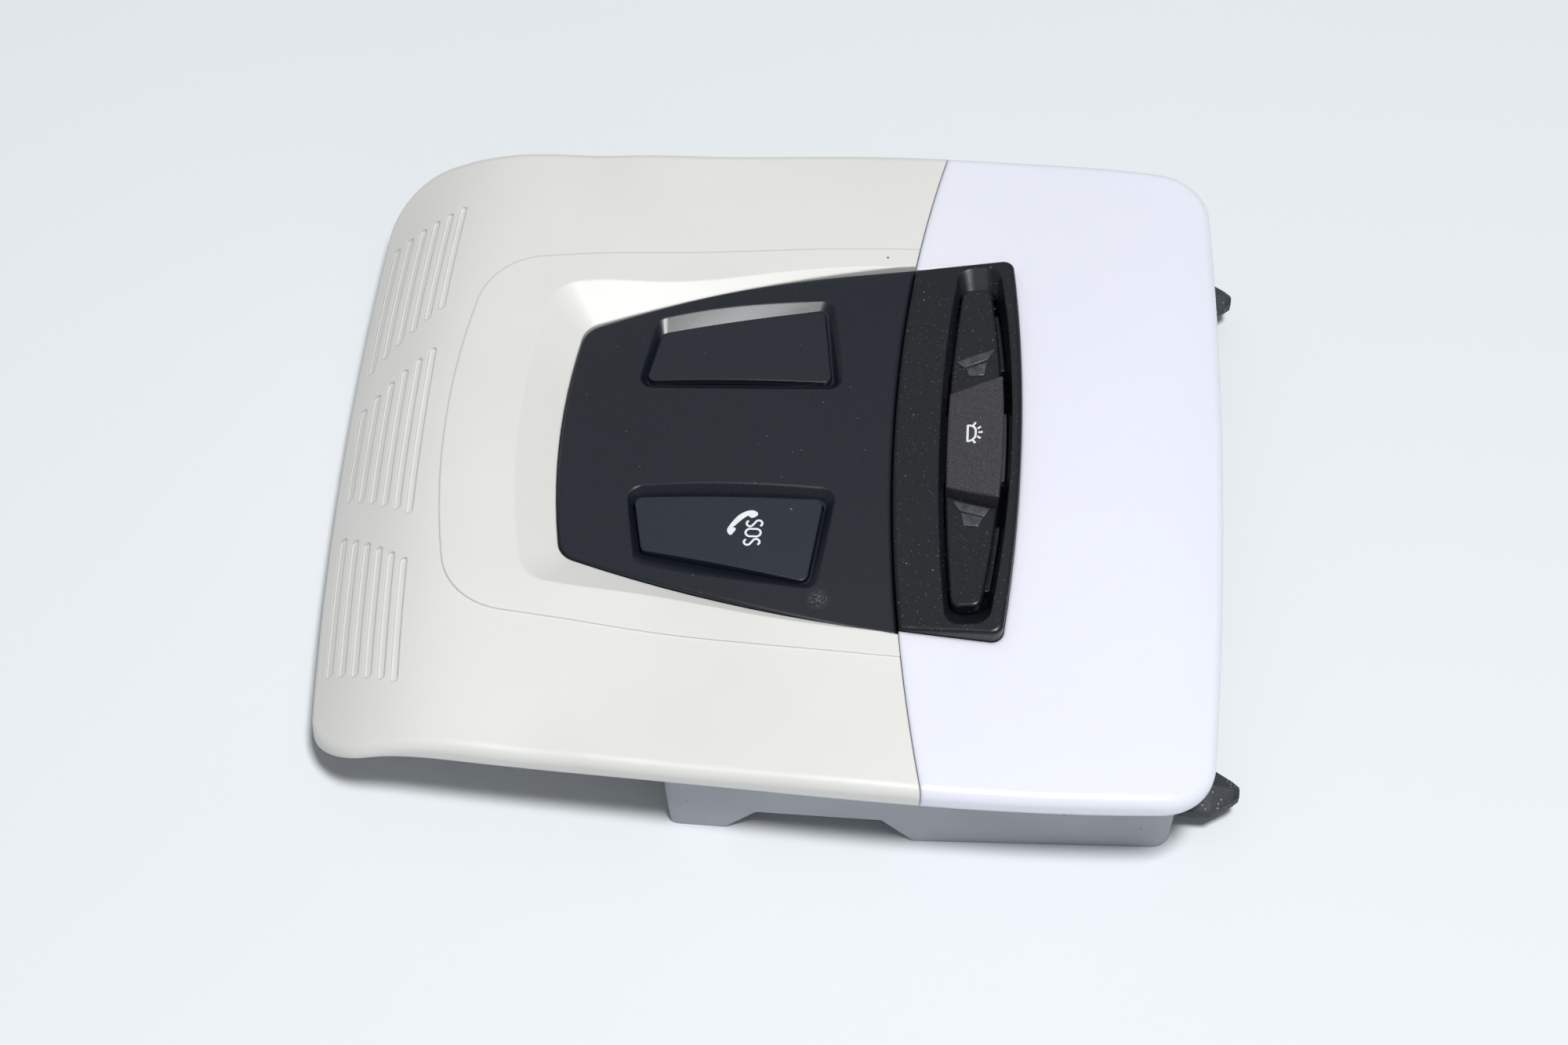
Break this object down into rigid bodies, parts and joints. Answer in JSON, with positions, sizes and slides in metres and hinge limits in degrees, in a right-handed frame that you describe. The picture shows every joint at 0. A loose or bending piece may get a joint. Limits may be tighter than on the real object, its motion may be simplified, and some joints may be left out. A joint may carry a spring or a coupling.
{
  "type": "interior light",
  "caption": "Car roof interior light: vented cover, opal lens, sunk control panel and push switches over a rear tray with locating hooks.",
  "frame": {"origin": "middle of the footprint, on the plane the rear feet stand on", "axes": "+X towards the lens, +Z out of the cabin face, Y across the car"},
  "size_m": [0.1986, 0.172, 0.0395],
  "materials": {
    "cover_beige": "satin moulded plastic, warm off-white",
    "lens_opal": "glossy opal diffuser plastic",
    "panel_black": "soft-touch black plastic",
    "pane_black": "smoked dead-front pane, satin",
    "bezel_black": "fine-grained black plastic",
    "button_grey": "fine-grained dark brown-grey plastic",
    "housing_grey": "plain light grey moulded plastic",
    "hook_black": "coarse-grained black plastic",
    "board_green": "green solder-masked glass fibre board",
    "steel": "bright steel",
    "contact_black": "carbon contact pads",
    "led_white": "light source package",
    "reflector_white": "white reflector plastic",
    "clear_acrylic": "clear acrylic",
    "socket_black": "black connector plastic",
    "pin_brass": "tinned brass",
    "boot_rubber": "soft black rubber",
    "aluminium": "drawn aluminium can"
  },
  "bodies": {
    "housing": {"front_cover": "cover_beige", "lens": "lens_opal", "control_panel": "panel_black", "indicator_pane": "pane_black", "switch_bezel": "bezel_black", "rear_housing": "housing_grey", "hook_frame": "hook_black", "circuit_board": "board_green", "board_screws": "steel", "switch_contacts": "contact_black", "dome_leds": "led_white", "reading_leds": "led_white", "reflector": "reflector_white", "reading_optic_near": "clear_acrylic", "reading_optic_far": "clear_acrylic", "indicator_led": "led_white", "light_guide": "clear_acrylic", "connector_socket": "socket_black", "connector_pins": "pin_brass", "spring_clip_near": "steel", "spring_clip_far": "steel", "microphone_boot_near": "boot_rubber", "microphone_boot_far": "boot_rubber", "microphone_near": "aluminium", "microphone_far": "aluminium"},
    "call_button": {"emergency_call_button": "panel_black"},
    "dome_button": {"dome_light_button": "button_grey"},
    "reading_near": {"reading_light_button_near": "bezel_black"},
    "reading_far": {"reading_light_button_far": "bezel_black"}
  },
  "joints": [
    {"name": "call_press", "type": "slide", "parent": "housing", "child": "call_button", "axis": [0, 0, -1], "range_m": [0, 0.001], "stiffness_N_per_m": 800},
    {"name": "dome_press", "type": "slide", "parent": "housing", "child": "dome_button", "axis": [0, 0, -1], "range_m": [0, 0.001], "stiffness_N_per_m": 800},
    {"name": "reading_near_press", "type": "hinge", "parent": "housing", "child": "reading_near", "pos_m": [0.039, -0.043, 0.0272], "axis": [-1, 0, 0], "range_deg": [0, 2.5], "stiffness_Nm_per_rad": 0.6},
    {"name": "reading_far_press", "type": "hinge", "parent": "housing", "child": "reading_far", "pos_m": [0.039, 0.043, 0.0272], "axis": [1, 0, 0], "range_deg": [0, 2.5], "stiffness_Nm_per_rad": 0.6}
  ]
}
